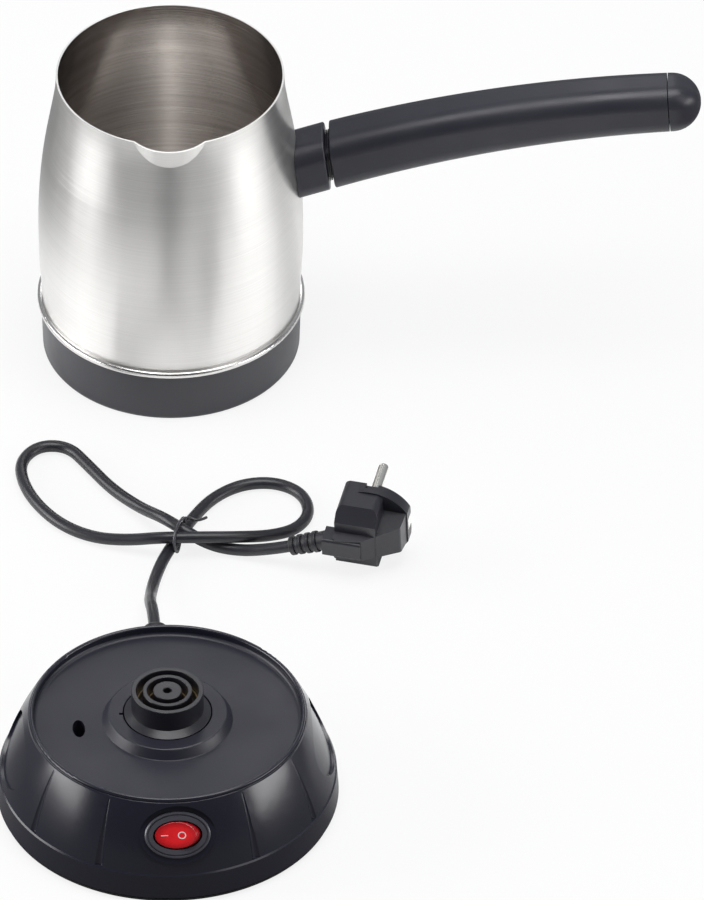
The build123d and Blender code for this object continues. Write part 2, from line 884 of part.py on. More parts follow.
def make_leads():
    """Wires inside the base, by node name."""
    start = cord_clamp_y() - cord_strip - cord_strip_end
    low = gland_height - 0.65 * lead_spread
    tip = switch_body_depth + terminal_length + 4 * hair
    live_end = switch_point(terminal_pitch, tip)
    switched_start = switch_point(0, tip)
    below = tail_bottom - hair
    outer_tail = tail_places()[0][1]
    inner_tail = tail_places()[1][1]
    return {
        "lead_live": tube(
            [
                (lead_spread, start, low),
                *lead_live_route,
                live_end + Vector(*lead_live_approach),
                live_end,
            ],
            lead_radius,
            lead_bend,
        ),
        "lead_neutral": tube(
            [
                (-lead_spread, start, low),
                lead_neutral_route,
                (-inner_tail, *lead_neutral_turn),
                (-inner_tail, 0, lead_rise),
                (-inner_tail, 0, below),
            ],
            lead_radius,
            lead_bend_tight,
        ),
        "lead_earth": tube(
            [
                (0, start, gland_height + 1.17 * lead_spread),
                *lead_earth_route,
                (0, 0, below),
            ],
            lead_radius,
            lead_bend_tight,
        ),
        "lead_switched": tube(
            [
                switched_start,
                switched_start + Vector(*lead_switched_approach),
                (outer_tail, *lead_switched_turn),
                (outer_tail, 0, lead_rise),
                (outer_tail, 0, below),
            ],
            lead_radius,
            lead_bend_tight,
        ),
    }


# Free cord, tie and plug ---------------------------------------------------


def on_base(solid):
    """Turns what is built in the base's own frame to where the base stands."""
    return Rot(0, 0, base_turn) * solid


def cord_points():
    """Route of the free cord, from inside the gland to the end of the plug's boot."""
    turn = math.radians(base_turn)
    start = (-math.sin(turn) * cord_start(), math.cos(turn) * cord_start(), gland_height)
    return [Vector(*start)] + [Vector(*point) for point in cord_route] + [Vector(*boot_tip)]


def cord_radii(points):
    """Radius at each corner: as large as the two runs beside it allow."""
    radii = []
    for back, here, ahead in zip(points, points[1:], points[2:]):
        before = here - back
        after = ahead - here
        turn = math.radians(before.get_angle(after))
        radii.append(0.45 * min(before.length, after.length) / math.tan(turn / 2))
    return radii


def make_mains_cord():
    points = cord_points()
    radii = cord_radii(points)
    route = FilletPolyline(*points, radius=radii)
    cord = sweep(route.location_at(0) * Circle(cord_diameter / 2), path=route)
    section = math.pi * cord_diameter**2 / 4
    print("cord length", round(route.length, 1), "volume ratio", round(cord.volume / section / route.length, 4))
    print("cord radii", [round(radius, 1) for radius in radii])
    return cord


def make_cord_tie():
    """Twist tie: a flat loop drawn round the crossing strands, with its ends twisted out."""
    half = tie_thickness / 2
    loop = Rot(0, 0, 90) * outline(tie_corners)
    band = Pos(tie_at, 0, 0) * extrude(offset(loop, half) - offset(loop, -half), amount=half, both=True)
    across, up, _ = tie_corners[1]
    return band + tube([(tie_at, across - 2.2, up), *tie_tail], half, 3)


def plug_plane():
    """Plane of the plug's contact face: Z along the pins, X towards the cord's side, Y up."""
    turn = math.radians(plug_turn)
    tilt = math.radians(plug_tilt)
    level = Vector(math.sin(turn), math.cos(turn), 0)
    pins = level * math.cos(tilt) + Vector(0, 0, math.sin(tilt))
    return Plane(origin=(*plug_at, plug_height), x_dir=(-level.Y, level.X, 0), z_dir=pins)


def plug_slab(places, half):
    """Plate of the plug between two heights, from places across and behind its face."""
    face = make_face(Polyline(*[(across, -depth) for across, depth in places], close=True))
    return Rot(90, 0, 0) * extrude(face, amount=half, both=True)


def plug_wedge(near, far, near_half, far_half):
    """Everything between two sloping faces, whose half height changes with the depth."""
    side = make_face(
        Polyline(
            (near_half, -near), (far_half, -far), (-far_half, -far), (-near_half, -near), close=True
        )
    )
    return Rot(0, 0, 90) * Rot(90, 0, 0) * extrude(side, amount=2 * plug_radius, both=True)


def make_plug_body():
    """Angled two-pin earthed plug."""
    disc = Pos(0, 0, -plug_disc) * extrude(Circle(plug_radius), plug_disc)
    disc = chamfer(disc.edges().group_by(Axis.Z)[-1], 0.8)
    far = 2 * plug_radius
    disc -= Pos(-plug_flat - far / 2, 0, 0) * Box(far, far, far)
    disc -= Pos(plug_near_flat + far / 2, 0, 0) * Box(far, far, far)
    # Block beside the disc: square at first, then sloping in
    block_side, block_half, block_depth = plug_block
    end_half, end_depth = plug_block_end
    width = plug_near_flat - block_side
    outline_face = Pos(block_side + width / 2, 0) * RectangleRounded(width, 2 * block_half, 3.0)
    block = Pos(0, 0, -end_depth) * extrude(outline_face, end_depth)
    slope = plug_wedge(block_depth, end_depth + hair, block_half, end_half) + plug_wedge(
        -hair, block_depth + hair, block_half + hair, block_half + hair
    )
    block &= slope
    # Grip behind the disc, and the neck that the cord leaves through
    grip = plug_slab(plug_grip, block_half)
    grip = fillet(grip.edges().filter_by(Axis.Y), 1.6)
    grip &= plug_wedge(0, plug_neck[2] + 1, *plug_grip_heights)
    neck_end, neck_near, neck_far = plug_neck
    neck = plug_slab(
        ((0.0, neck_near), (neck_end, neck_near), (neck_end, neck_far), (0.0, neck_far)), plug_neck_half
    )
    neck = fillet(neck.edges().filter_by(Axis.X), 1.2)
    body = disc + block + grip + neck
    # Guide grooves above and below, seats of the earth clips and of the pins
    groove_width, groove_depth = plug_groove
    for side in (-1, 1):
        at = Pos(0, side * (plug_radius + groove_depth), 0)
        body -= at * Box(groove_width, 4 * groove_depth, 2 * plug_disc * 0.6)
    for side, flat in ((-1, plug_flat), (1, plug_near_flat)):
        body -= Pos(side * (flat - 0.9), 0, -plug_clip[2] / 2) * Box(2.2, plug_clip[1] + 0.6, plug_clip[2] + 0.4)
    hole = Cylinder(plug_root_radius + hair, 2 * plug_root_length)
    for side in (-0.5, 0.5):
        body -= Pos(0, side * plug_pin_pitch, 0) * hole
    return plug_plane() * body


def make_plug_pins():
    pin = Cylinder(plug_pin_radius, plug_pin_length, align=(Align.CENTER, Align.CENTER, Align.MIN))
    pin = fillet(pin.edges().group_by(Axis.Z)[-1], plug_pin_end)
    root = Cylinder(plug_root_radius, plug_root_length, align=(Align.CENTER, Align.CENTER, Align.MAX))
    places = (-0.5 * plug_pin_pitch, 0.5 * plug_pin_pitch)
    return group([plug_plane() * Pos(0, place, 0) * (pin + root) for place in places])


def make_plug_earth_clips():
    clips = []
    for side, flat in ((-1, plug_flat), (1, plug_near_flat)):
        clips.append(plug_plane() * Pos(side * (flat - 0.9), 0, -plug_clip[2] / 2) * Box(*plug_clip))
    return group(clips)


def make_plug_boot():
    """Ribbed strain relief between the plug and the cord."""
    neck_end, neck_near, neck_far = plug_neck
    neck_depth = (neck_near + neck_far) / 2
    root = plug_plane().from_local_coords(Vector(neck_end + hair, 0, -neck_depth))
    tip = Vector(*boot_tip)
    axis = (root - tip).normalized()
    length = (root - tip).length
    frame = Plane(origin=tip, x_dir=(0, 1, 0), z_dir=axis)
    body = Cone(
        boot_radius - 1.4, boot_radius - 0.4, length + 3, align=(Align.CENTER, Align.CENTER, Align.MIN)
    )
    pitch = length / (boot_ribs + 0.4)
    for i in range(boot_ribs):
        radius = boot_radius - 0.45 + 0.15 * i
        rib = Cylinder(radius, pitch * 0.58, align=(Align.CENTER, Align.CENTER, Align.MIN))
        rib = fillet(rib.edges().filter_by(GeomType.CIRCLE), 0.4)
        body += Pos(0, 0, pitch * i + 0.2) * rib
    boot = frame * body
    far = 4 * plug_radius
    face = plug_plane() * Pos(neck_end + hair - far / 2, 0, -neck_depth) * Box(far, far, far)
    return boot - face


# Pot -----------------------------------------------------------------------


vessel_bottom = cup_height + vessel_seat
joggle_radius = cup_radius - joggle_inset
joggle_height = cup_height + gasket_height + hem_height + joggle_margin
cup_foot_radius = cup_radius - cup_foot_inset
vessel_belly = (
    (cup_radius - heel_inset, joggle_height + heel_rise),
    *((radius, vessel_height - drop) for radius, drop in vessel_swell),
    (vessel_rim_radius, vessel_height),
)


def belly(inset, top):
    """Edges of the vessel's side in section, moved in by a wall."""
    points = [Vector(radius - inset, 0, height) for radius, height in vessel_belly]
    side = Spline(*points, tangents=[(0.05, 0, 1), (0, 0, 1)])
    edges = [side]
    if top > points[-1].Z:
        edges.append(Line(points[-1], (points[-1].X, 0, top)))
    return edges, points[0], Vector(points[-1].X, 0, top)


def vessel_solid(inset, floor, top):
    """Filled form of the vessel, its whole outside or its cavity."""
    edges, first, last = belly(inset, top)
    corner = 2.0 - inset
    joggle = joggle_radius - inset
    joggle_top = joggle_height - inset / 2
    low = Vector(joggle - corner, 0, floor)
    side = Vector(joggle, 0, floor + corner)
    crown = Vector(joggle - corner + corner * math.sin(math.pi / 4), 0, floor + corner * (1 - math.cos(math.pi / 4)))
    edges += [
        Line((0, 0, floor), low),
        ThreePointArc(low, crown, side),
        Line(side, (joggle, 0, joggle_top)),
        Line((joggle, 0, joggle_top), first),
        Line(last, (0, 0, top)),
        Line((0, 0, top), (0, 0, floor)),
    ]
    return revolve(make_face(edges), Axis.Z)


def spout_solid(inset, above):
    """Tilted round form that is pressed out of the rim at the front."""
    rim_radius, rim = vessel_belly[-1]
    root_radius = vessel_belly[-2][0] - 0.8
    tilt = math.atan((rim_radius + spout_reach - root_radius) / spout_drop)
    front = rim_radius + spout_reach
    centre_y = -(front - spout_radius / math.cos(tilt))
    axis = Vector(0, -math.sin(tilt), math.cos(tilt))
    reach = 2.6 * spout_drop
    start = Vector(0, centre_y, rim) - axis * reach
    body = Plane(origin=start, x_dir=(1, 0, 0), z_dir=axis) * Cylinder(
        spout_radius - inset, 2 * reach, align=(Align.CENTER, Align.CENTER, Align.MIN)
    )
    far = 4 * rim_radius
    limit = Pos(0, 0, rim + above) * Box(far, far, far, align=(Align.CENTER, Align.CENTER, Align.MAX))
    return body & limit


def make_vessel():
    outside = vessel_solid(0, vessel_bottom, vessel_height) + spout_solid(0, 0)
    cavity = vessel_solid(vessel_wall, vessel_bottom + vessel_wall, vessel_height + 2)
    return outside - cavity - spout_solid(vessel_wall, 2)


def make_hem_ring():
    low = cup_height + gasket_height
    inner = joggle_radius + hair
    outer = cup_radius + hem_overhang
    return turned(
        (
            (inner, low),
            (outer, low, 1.1),
            (outer, low + hem_height, 1.3),
            (inner, low + hem_height),
        )
    )


def make_gasket():
    outer = cup_radius - fit
    return ring(outer - gasket_width, outer, cup_height, cup_height + gasket_height)


def make_cup():
    plate_top = cup_floor + cup_plate
    recess_top = cup_recess_depth + cup_plate
    inner_radius = cup_radius - cup_wall
    cup = turned(
        (
            (cup_foot_radius, 0, 0.5),
            (cup_radius - 0.6, 1.4, 2.0),
            (cup_radius, cup_height),
            (inner_radius, cup_height),
            (inner_radius - 0.3, plate_top, 1.5),
            (cup_recess_radius + cup_plate, plate_top),
            (cup_recess_radius + cup_plate, recess_top),
            (socket_hole, recess_top),
            (socket_hole, cup_recess_depth),
            (cup_recess_radius, cup_recess_depth),
            (cup_recess_radius, cup_floor, 0.5),
            (cup_foot_radius - cup_foot_width, cup_floor),
            (cup_foot_radius - cup_foot_width, 0),
        )
    )
    boss = ring(0, cup_boss_radius, plate_top - hair, standoff_bottom)
    hole = ring(0, cup_screw_radius + 2 * fit, 0, standoff_bottom)
    for solid in around(standoff_circle, standoff_angles, boss):
        cup += solid
    for solid in around(standoff_circle, standoff_angles, hole):
        cup -= solid
    pilot = ring(0, small_screw_radius + hair, cup_recess_depth + 0.4, recess_top)
    for solid in around(socket_screw_circle, clamp_angles, pilot):
        cup -= solid
    return cup


def make_standoffs():
    post = ring(0, standoff_radius, standoff_bottom, vessel_bottom)
    post -= ring(0, cup_screw_radius + hair, standoff_bottom, vessel_bottom - 2.5)
    return group(around(standoff_circle, standoff_angles, post))


def make_cup_screws():
    length = vessel_bottom - 3.0 - cup_floor
    solid = screw(screw_head_radius, cup_screw_head_height, cup_screw_radius, length, cup_floor)
    return group(around(standoff_circle, standoff_angles, solid))


def make_socket():
    low = cup_recess_depth + fit
    flange_low = cup_recess_depth + cup_plate
    socket = turned(
        (
            (socket_mouth_radius, low, 0.3),
            (socket_body_radius, low),
            (socket_body_radius, flange_low),
            (socket_flange_radius, flange_low),
            (socket_flange_radius, flange_low + socket_flange_height),
            (socket_body_radius, flange_low + socket_flange_height, 0.8),
            (socket_body_radius, socket_top, 0.6),
            (0, socket_top),
            (0, socket_ceiling),
            (socket_radius, socket_ceiling),
            (socket_radius, low + 2.7),
        )
    )
    for inner, outer in ring_radii:
        place = (inner + outer) / 2
        slot = Box(outer - inner + 2 * hair, tail_width + 2 * hair, 3 * (socket_top - socket_ceiling))
        socket -= Pos(place, 0, socket_top) * slot
    socket -= ring(0, socket_pin_radius + hair, socket_ceiling, socket_top)
    flange_top = flange_low + socket_flange_height
    hole = ring(0, small_screw_radius + fit, flange_low, flange_top)
    for solid in around(socket_screw_circle, clamp_angles, hole):
        socket -= solid
    return socket


def make_socket_contacts():
    contacts = []
    tail_top = socket_top + 1.5
    for inner, outer in ring_radii:
        hoop = ring(inner, outer, ring_bottom, socket_ceiling - hair)
        tail = Box(outer - inner - 0.1, tail_width, tail_top - socket_ceiling + 1)
        hoop += Pos((inner + outer) / 2, 0, (tail_top + socket_ceiling - 1) / 2) * tail
        contacts.append(hoop)
    pin = ring(0, socket_pin_radius, socket_pin_bottom, tail_top)
    contacts.append(fillet(pin.edges().group_by(Axis.Z)[0], 0.9))
    return group(contacts)


def make_socket_screws():
    seat = cup_recess_depth + cup_plate + socket_flange_height
    length = seat - cup_recess_depth - 0.6
    solid = Rot(180, 0, 0) * screw(small_head_radius, small_head_height, small_screw_radius, length, 0)
    return group([Pos(0, 0, seat) * place for place in around(socket_screw_circle, clamp_angles, solid)])


# Heater --------------------------------------------------------------------


def make_heater_plate():
    return ring(0, plate_radius, vessel_bottom - plate_thickness, vessel_bottom)


def element_height():
    return vessel_bottom - plate_thickness - element_radius - hair


def element_ends():
    """Where the element's two cold pins stand, each side of its gap at +Y."""
    half = math.radians(element_gap_angle / 2)
    return [(side * element_ring * math.sin(half), element_ring * math.cos(half)) for side in (-1, 1)]


def make_heating_element():
    start = 90 + element_gap_angle / 2
    route = CenterArc((0, 0, element_height()), element_ring, start, 360 - element_gap_angle)
    element = sweep(route.location_at(0) * Circle(element_radius), path=route)
    pin = ring(0, element_pin_radius, element_pin_bottom, element_height())
    turn = math.degrees(0.9 * element_radius / element_ring)
    for angle in (start + turn, start + 360 - element_gap_angle - turn):
        element += Rot(0, 0, angle) * Pos(element_ring, 0, 0) * pin
    return element


def make_thermostat():
    top = vessel_bottom - plate_thickness
    low = top - thermostat_height
    body = ring(0, thermostat_radius, low + 2, top) + ring(0, thermostat_radius + 1, top - 2, top - 1)
    body += Pos(0, 0, low + 1) * Box(8, 6, 2 + hair)
    for side in (-1, 1):
        tab = Box(0.2 * thermostat_tab, 4, thermostat_tab + hair)
        body += Pos(side * thermostat_tab, 0, low - thermostat_tab / 2) * tab
    return Pos(0, thermostat_ring, 0) * body


def make_pot_leads():
    """Wires under the heater plate, by node name."""
    tail_z = socket_top + 1.2 * lead_radius
    outer = ring_radii[0][1]
    inner = ring_radii[1][0]
    pins = element_ends()
    low = vessel_bottom - plate_thickness - thermostat_height - thermostat_tab / 2
    clip = 2.4 * lead_radius
    tab = thermostat_tab + lead_radius + clip_gap
    pin_low = element_pin_bottom + lead_radius
    return {
        "pot_lead_live": tube(
            [
                (outer + lead_radius, 0.6 * lead_radius, tail_z),
                *pot_live_route,
                (tab, thermostat_ring - lead_radius, low),
            ],
            lead_radius,
            lead_bend_tight,
        ),
        "pot_lead_heater": tube(
            [
                (-tab, thermostat_ring, low + lead_radius / 2),
                pot_heater_route,
                (pins[0][0] + clip, pins[0][1] + clip_gap, pin_low),
            ],
            lead_radius,
            lead_bend_tight,
        ),
        "pot_lead_neutral": tube(
            [
                (inner - 1.1 * lead_radius, -lead_radius, tail_z + 0.2 * lead_radius),
                *pot_neutral_route,
                (pins[1][0] + clip + lead_radius, pins[1][1] - 3 * lead_radius, pin_low),
            ],
            lead_radius,
            lead_bend_tight,
        ),
    }


# Handle --------------------------------------------------------------------

cap_start = handle_length - cap_length


def handle_plane(along):
    """Plane across the handle at a distance along its centre line; Y is up."""
    slope = math.radians(handle_slope)
    root_x, root_z = handle_root
    if along <= 0:
        here = slope
        x = root_x + along * math.cos(slope)
        z = root_z + along * math.sin(slope)
    else:
        here = slope - along / handle_curve
        x = root_x + handle_curve * (math.sin(slope) - math.sin(here))
        z = root_z + handle_curve * (math.cos(here) - math.cos(slope))
    return Plane(origin=(x, 0, z), x_dir=(0, 1, 0), z_dir=(math.cos(here), 0, math.sin(here)))


def beyond(along):
    """Everything past a leaning cut across the handle, at a distance along its root's axis."""
    slope = math.radians(handle_slope - handle_cut)
    at = handle_plane(0).from_local_coords(Vector(0, 0, along))
    cut = Plane(origin=at, x_dir=(0, 1, 0), z_dir=(math.cos(slope), 0, math.sin(slope)))
    far = 2 * handle_length
    return cut * Box(far, far, far, align=(Align.CENTER, Align.CENTER, Align.MIN))


def grip_section(along, scale=1.0):
    """Rounded section of the grip, smaller towards its tip."""
    share = max(0.0, along) / handle_length
    width = (grip_width[0] + (grip_width[1] - grip_width[0]) * share) * scale
    height = (grip_height_ends[0] + (grip_height_ends[1] - grip_height_ends[0]) * share) * scale
    corner = min(grip_corner * scale, 0.49 * width)
    return handle_plane(along) * RectangleRounded(width, height, corner)


def core_bar(start, end, extra):
    """Straight bar through the handle's root, larger than the core all round by a clearance."""
    section = RectangleRounded(core_width + 2 * extra, core_height + 2 * extra, core_corner + extra)
    return handle_plane(0) * Pos(0, 0, start) * extrude(section, end - start)


def round_bar(radius, start, end):
    """Round bar on the core's axis."""
    return handle_plane(0) * Pos(0, 0, start) * extrude(Circle(radius), end - start)


def vessel_keepout():
    """Vessel, a little larger, that the parts against its wall are cut to."""
    return vessel_solid(-fit, vessel_bottom, vessel_height)


def make_handle_collar():
    width, height = grip_width[0], grip_height_ends[0]
    section = RectangleRounded(width, height, grip_corner)
    collar = handle_plane(0) * Pos(0, 0, -14) * extrude(section, 14 + 2 * grip_start)
    collar -= beyond(collar_end)
    collar = fillet(collar.faces().sort_by(Axis.X)[-1].edges(), 0.8)
    collar -= core_bar(-20, 3 * grip_start, fit)
    return collar - vessel_keepout()


def make_handle_bracket():
    bracket = core_bar(-14, -bracket_gap, 0) - vessel_keepout()
    return bracket - round_bar(bolt_radius + hair, -bolt_seat / 2 - 0.6, 0)


def make_handle_core():
    core = core_bar(-bracket_gap + hair, core_end, 0)
    for i in range(2):
        rib = collar_end + core_rib_pitch * (i + 1) - core_rib_width
        core += (core_bar(0, 3 * grip_start, core_rib) & beyond(rib)) - beyond(rib + core_rib_width)
    core -= round_bar(bolt_radius + fit, -bracket_gap, bolt_seat)
    core -= round_bar(bolt_head_radius + 2 * fit, bolt_seat, core_end + 1)
    screw_hole = handle_plane(grip_screw_at) * Pos(0, -core_height / 2, 0)
    core -= screw_hole * Rot(90, 0, 0) * Cylinder(screw_radius + hair, 3 * bolt_radius)
    return core


def make_handle_bolt():
    end = -bolt_seat / 2 - 0.4
    bolt = round_bar(bolt_radius, end, bolt_seat + hair)
    head = round_bar(bolt_head_radius, bolt_seat, bolt_seat + bolt_head_height)
    hexagon = handle_plane(0) * Pos(0, 0, bolt_seat + 1) * extrude(RegularPolygon(2.3, 6), bolt_head_height)
    return bolt + head - hexagon


def make_handle_grip():
    grip = loft([grip_section(cap_start * share / 5) for share in range(6)])
    grip &= beyond(grip_start)
    grip = fillet(grip.faces().sort_by(Axis.X)[0].edges(), 0.8)
    grip -= core_bar(0, core_end + 1, fit)
    seat = screw_seat()
    hole = handle_plane(grip_screw_at) * Pos(0, seat, 0) * Rot(90, 0, 0)
    grip -= hole * Cylinder(screw_head_radius + fit, 8, align=(Align.CENTER, Align.CENTER, Align.MIN))
    return grip - hole * Cylinder(screw_radius + fit, 12)


def screw_seat():
    """Height of the grip screw's head seat, below the handle's centre line."""
    return -grip_height_ends[0] / 2 + screw_head_height


def make_grip_screw():
    length = -screw_seat() - core_height / 2 + 2.5
    solid = screw(screw_head_radius, screw_head_height - 0.4, screw_radius, length, 0)
    place = handle_plane(grip_screw_at) * Pos(0, screw_seat(), 0)
    return place * Rot(-90, 0, 0) * solid


def make_handle_cap():
    round_start = handle_length - tip_length
    sections = [grip_section(cap_start + cap_seam)]
    for step in (0.0, 0.3, 0.55, 0.76, 0.9, 0.97, 0.995):
        scale = math.sqrt(1 - step**2)
        sections.append(grip_section(round_start + step * tip_length, scale))
    cap = loft(sections)
    spigot = handle_plane(cap_start) * extrude(RectangleRounded(12, 14, 4), 3)
    return cap + spigot


# Nodes ---------------------------------------------------------------------


def main():
    base_nodes = {
        "base_housing": make_housing(),
        "base_cover": make_cover(),
        "base_foot_ring": make_foot_ring(),
        "base_cover_screws": make_cover_screws(),
        "connector_body": make_connector(),
        "connector_contacts": make_connector_contacts(),
        "connector_clamp": make_connector_clamp(),
        "connector_screws": make_connector_screws(),
        "switch_frame": make_switch_frame(),
        "switch_terminals": make_switch_terminals(),
        "switch_lamp": make_switch_lamp(),
        "switch_rocker": make_switch_rocker(),
        "cord_gland": make_cord_gland(),
        "cord_tail": make_cord_tail(),
        "cord_clamp": make_cord_clamp(),
        "cord_clamp_screws": make_cord_clamp_screws(),
        **make_leads(),
    }
    free_nodes = {
        "mains_cord": make_mains_cord(),
        "cord_tie": make_cord_tie(),
        "plug_body": make_plug_body(),
        "plug_boot": make_plug_boot(),
        "plug_pins": make_plug_pins(),
        "plug_earth_clips": make_plug_earth_clips(),
    }
    pot_nodes = {
        "pot_vessel": make_vessel(),
        "hem_ring": make_hem_ring(),
        "cup_gasket": make_gasket(),
        "pot_cup": make_cup(),
        "cup_standoffs": make_standoffs(),
        "cup_screws": make_cup_screws(),
        "pot_socket": make_socket(),
        "socket_contacts": make_socket_contacts(),
        "socket_screws": make_socket_screws(),
        "heater_plate": make_heater_plate(),
        "heating_element": make_heating_element(),
        "thermostat": make_thermostat(),
        **make_pot_leads(),
        "handle_bracket": make_handle_bracket(),
        "handle_bolt": make_handle_bolt(),
        "handle_collar": make_handle_collar(),
        "handle_core": make_handle_core(),
        "handle_grip": make_handle_grip(),
        "grip_screw": make_grip_screw(),
        "handle_cap": make_handle_cap(),
    }
    nodes = {name: on_base(solid) for name, solid in base_nodes.items()}
    nodes.update(free_nodes)
    nodes.update({name: Pos(0, pot_distance, 0) * solid for name, solid in pot_nodes.items()})
    os.makedirs("parts", exist_ok=True)
    for name, solid in nodes.items():
        export_step(solid, f"parts/{name}.step")


main()
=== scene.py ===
import math

import bpy
from mathutils import Matrix, Vector


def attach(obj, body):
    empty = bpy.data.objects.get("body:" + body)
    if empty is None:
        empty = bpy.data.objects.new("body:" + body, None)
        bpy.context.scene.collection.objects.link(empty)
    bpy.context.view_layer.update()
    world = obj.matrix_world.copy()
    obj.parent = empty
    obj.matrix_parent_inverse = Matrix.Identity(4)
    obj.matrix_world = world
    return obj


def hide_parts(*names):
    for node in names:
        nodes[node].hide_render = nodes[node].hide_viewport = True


scene = bpy.context.scene
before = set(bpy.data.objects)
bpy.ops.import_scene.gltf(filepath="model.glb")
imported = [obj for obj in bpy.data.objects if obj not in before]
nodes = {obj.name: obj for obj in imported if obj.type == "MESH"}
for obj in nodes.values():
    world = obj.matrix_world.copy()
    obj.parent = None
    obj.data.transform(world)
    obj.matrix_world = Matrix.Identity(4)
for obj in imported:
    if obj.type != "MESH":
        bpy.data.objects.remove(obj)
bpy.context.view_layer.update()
print("loaded", len(nodes), "nodes")

baseTurn = math.radians(4)  # how far the base is turned about its axis
potAxis = (0, 0.31, 0)
millimetre = 0.001


# Camera

cameraSetup = {
    "target": (0.0784, 0.2334, 0),
    "elevation": 39,
    "distance": 12.96,
    "lens": 1200,
    "sensor": 36,
    "farthest": 60,
}


def addCamera(setup):
    elevation = math.radians(setup["elevation"])
    away = Vector((0, -math.cos(elevation), math.sin(elevation))) * setup["distance"]
    bpy.ops.object.camera_add(location=Vector(setup["target"]) + away)
    camera = bpy.context.object
    camera.rotation_euler = (math.pi / 2 - elevation, 0, 0)
    camera.data.lens = setup["lens"]
    camera.data.sensor_width = setup["sensor"]
    camera.data.clip_end = setup["farthest"]
    scene.camera = camera


addCamera(cameraSetup)
scene.view_settings.view_transform = "Standard"
print("camera set")


# Materials

def newMaterial(name, color, roughness, metallic=0, **inputs):
    material = bpy.data.materials.new(name)
    material.use_nodes = True
    shader = material.node_tree.nodes["Principled BSDF"]
    shader.inputs["Base Color"].default_value = (*color, 1)
    shader.inputs["Roughness"].default_value = roughness
    shader.inputs["Metallic"].default_value = metallic
    for key, value in inputs.items():
        shader.inputs[key.replace("_", " ")].default_value = value
    return material


def addNode(material, kind, **settings):
    node = material.node_tree.nodes.new(kind)
    for key, value in settings.items():
        setattr(node, key, value)
    return node


def link(material, output, target):
    material.node_tree.links.new(output, target)


def objectPoint(material, offset=(0, 0, 0), scale=(1, 1, 1)):
    coords = addNode(material, "ShaderNodeTexCoord")
    mapping = addNode(material, "ShaderNodeMapping")
    mapping.inputs["Location"].default_value = offset
    mapping.inputs["Scale"].default_value = scale
    link(material, coords.outputs["Object"], mapping.inputs["Vector"])
    return mapping.outputs["Vector"]


def stretched(material, point, scale):
    mapping = addNode(material, "ShaderNodeMapping")
    mapping.inputs["Scale"].default_value = scale
    link(material, point, mapping.inputs["Vector"])
    return mapping.outputs["Vector"]


def addNoise(material, vector, scale, detail=3, roughness=0.5):
    noise = addNode(material, "ShaderNodeTexNoise")
    noise.inputs["Scale"].default_value = scale
    noise.inputs["Detail"].default_value = detail
    noise.inputs["Roughness"].default_value = roughness
    link(material, vector, noise.inputs["Vector"])
    return noise.outputs["Fac"]


def addRange(material, value, low, high, fromLow=0.3, fromHigh=0.7):
    ramp = addNode(material, "ShaderNodeMapRange")
    ramp.inputs["From Min"].default_value = fromLow
    ramp.inputs["From Max"].default_value = fromHigh
    ramp.inputs["To Min"].default_value = low
    ramp.inputs["To Max"].default_value = high
    link(material, value, ramp.inputs["Value"])
    return ramp.outputs["Result"]


def addMath(material, operation, first, second=None):
    node = addNode(material, "ShaderNodeMath", operation=operation)
    for socket, value in zip(node.inputs, (first, second)):
        if isinstance(value, (int, float)):
            socket.default_value = value
        elif value is not None:
            link(material, value, socket)
    return node.outputs["Value"]


def addVectorMath(material, operation, first, second=None):
    node = addNode(material, "ShaderNodeVectorMath", operation=operation)
    for socket, value in zip(node.inputs, (first, second)):
        if isinstance(value, tuple):
            socket.default_value = value
        elif value is not None:
            link(material, value, socket)
    return node


def mixValue(material, factor, first, second):
    mix = addNode(material, "ShaderNodeMix", data_type="FLOAT")
    for socket, value in zip((mix.inputs[0], mix.inputs[2], mix.inputs[3]), (factor, first, second)):
        link(material, value, socket)
    return mix.outputs[0]


def mixColor(material, factor, first, second):
    mix = addNode(material, "ShaderNodeMix", data_type="RGBA")
    link(material, factor, mix.inputs[0])
    mix.inputs[6].default_value = (*first, 1)
    mix.inputs[7].default_value = (*second, 1)
    return mix.outputs[2]


def addBump(material, height, distance):
    bump = addNode(material, "ShaderNodeBump")
    bump.inputs["Distance"].default_value = distance
    bump.inputs["Strength"].default_value = 1
    link(material, height, bump.inputs["Height"])
    shader = material.node_tree.nodes["Principled BSDF"]
    link(material, bump.outputs["Normal"], shader.inputs["Normal"])
    return bump


def setRoughness(material, value):
    shader = material.node_tree.nodes["Principled BSDF"]
    link(material, value, shader.inputs["Roughness"])


def setColor(material, value):
    shader = material.node_tree.nodes["Principled BSDF"]
    link(material, value, shader.inputs["Base Color"])


plasticFinish = {
    "patchScale": 45,
    "detail": 2,
}


def mouldedPlastic(name, color, roughness, grain=900, depth=0.02, spread=0.05, **inputs):
    # A fine grain, its depth in millimetres, with patches that shine a little more
    material = newMaterial(name, color, roughness, **inputs)
    point = objectPoint(material)
    detail = plasticFinish["detail"]
    patches = addNoise(material, point, plasticFinish["patchScale"], detail)
    setRoughness(material, addRange(material, patches, roughness - spread, roughness + spread))
    addBump(material, addNoise(material, point, grain, detail), depth * millimetre)
    return material


turnedFinish = {
    "scale": (1, 1, 60),
    "grain": 300,
    "detail": 2,
    "smoother": 0.06,
    "rougher": 0.08,
    "depth": 0.00001,
}


def turnedMetal(name, color, roughness):
    # Fine tool lines, one above the other
    setup = turnedFinish
    material = newMaterial(name, color, roughness, 1)
    point = objectPoint(material, scale=setup["scale"])
    lines = addNoise(material, point, setup["grain"], setup["detail"])
    low, high = roughness - setup["smoother"], roughness + setup["rougher"]
    setRoughness(material, addRange(material, lines, low, high))
    addBump(material, lines, setup["depth"])
    return material


